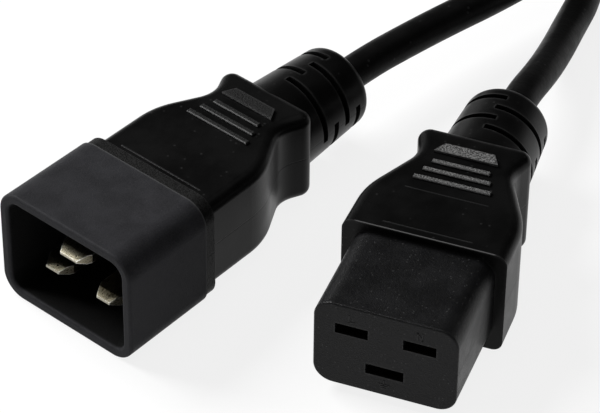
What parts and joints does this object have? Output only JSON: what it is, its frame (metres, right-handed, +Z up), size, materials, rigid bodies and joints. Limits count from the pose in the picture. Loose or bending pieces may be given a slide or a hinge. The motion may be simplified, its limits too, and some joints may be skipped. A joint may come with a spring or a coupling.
{
  "type": "c19 power connector",
  "caption": "Moulded C19 socket connector with its slotted boot, on a coiled black mains cord that ends in a shrouded C20 plug.",
  "frame": {"origin": "on the table under the middle of the C19 connector's box, measured without the cord and what is on it", "axes": "+Z up; the C19 mating face looks along -Y and its cord leaves along +Y; +X is to the right seen from the mating side"},
  "size_m": [0.1023, 0.2677, 0.025],
  "materials": {
    "carrier_nylon": "matt, faintly speckled black",
    "contact_brass": "bright brass strip",
    "copper_strand": "bare copper",
    "cord_jacket": "satin black PVC jacket",
    "core_blue": "blue insulation",
    "core_brown": "brown insulation",
    "core_green_yellow": "green and yellow insulation",
    "inner_mould_pvc": "matt dark grey",
    "overmould_pvc": "satin black soft PVC",
    "plated_pin": "nickel-plated brass",
    "shroud_nylon": "matt black",
    "tie_strap": "black hook and loop strap"
  },
  "bodies": {
    "root": {"c19_carrier_cover": "carrier_nylon", "c19_contact_carrier": "carrier_nylon", "c19_earth_conductor": "copper_strand", "c19_earth_contact": "contact_brass", "c19_earth_core": "core_green_yellow", "c19_inner_mould": "inner_mould_pvc", "c19_jacket_end": "cord_jacket", "c19_lead": "cord_jacket", "c19_line_conductor": "copper_strand", "c19_line_contact": "contact_brass", "c19_line_core": "core_brown", "c19_neutral_conductor": "copper_strand", "c19_neutral_contact": "contact_brass", "c19_neutral_core": "core_blue", "c19_overmould": "overmould_pvc", "c20_earth_conductor": "copper_strand", "c20_earth_core": "core_green_yellow", "c20_earth_pin": "plated_pin", "c20_inner_mould": "inner_mould_pvc", "c20_jacket_end": "cord_jacket", "c20_lead": "cord_jacket", "c20_line_conductor": "copper_strand", "c20_line_core": "core_brown", "c20_line_pin": "plated_pin", "c20_neutral_conductor": "copper_strand", "c20_neutral_core": "core_blue", "c20_neutral_pin": "plated_pin", "c20_overmould": "overmould_pvc", "c20_shroud": "shroud_nylon", "coil_tie": "tie_strap", "cord_coil": "cord_jacket"}
  },
  "joints": []
}
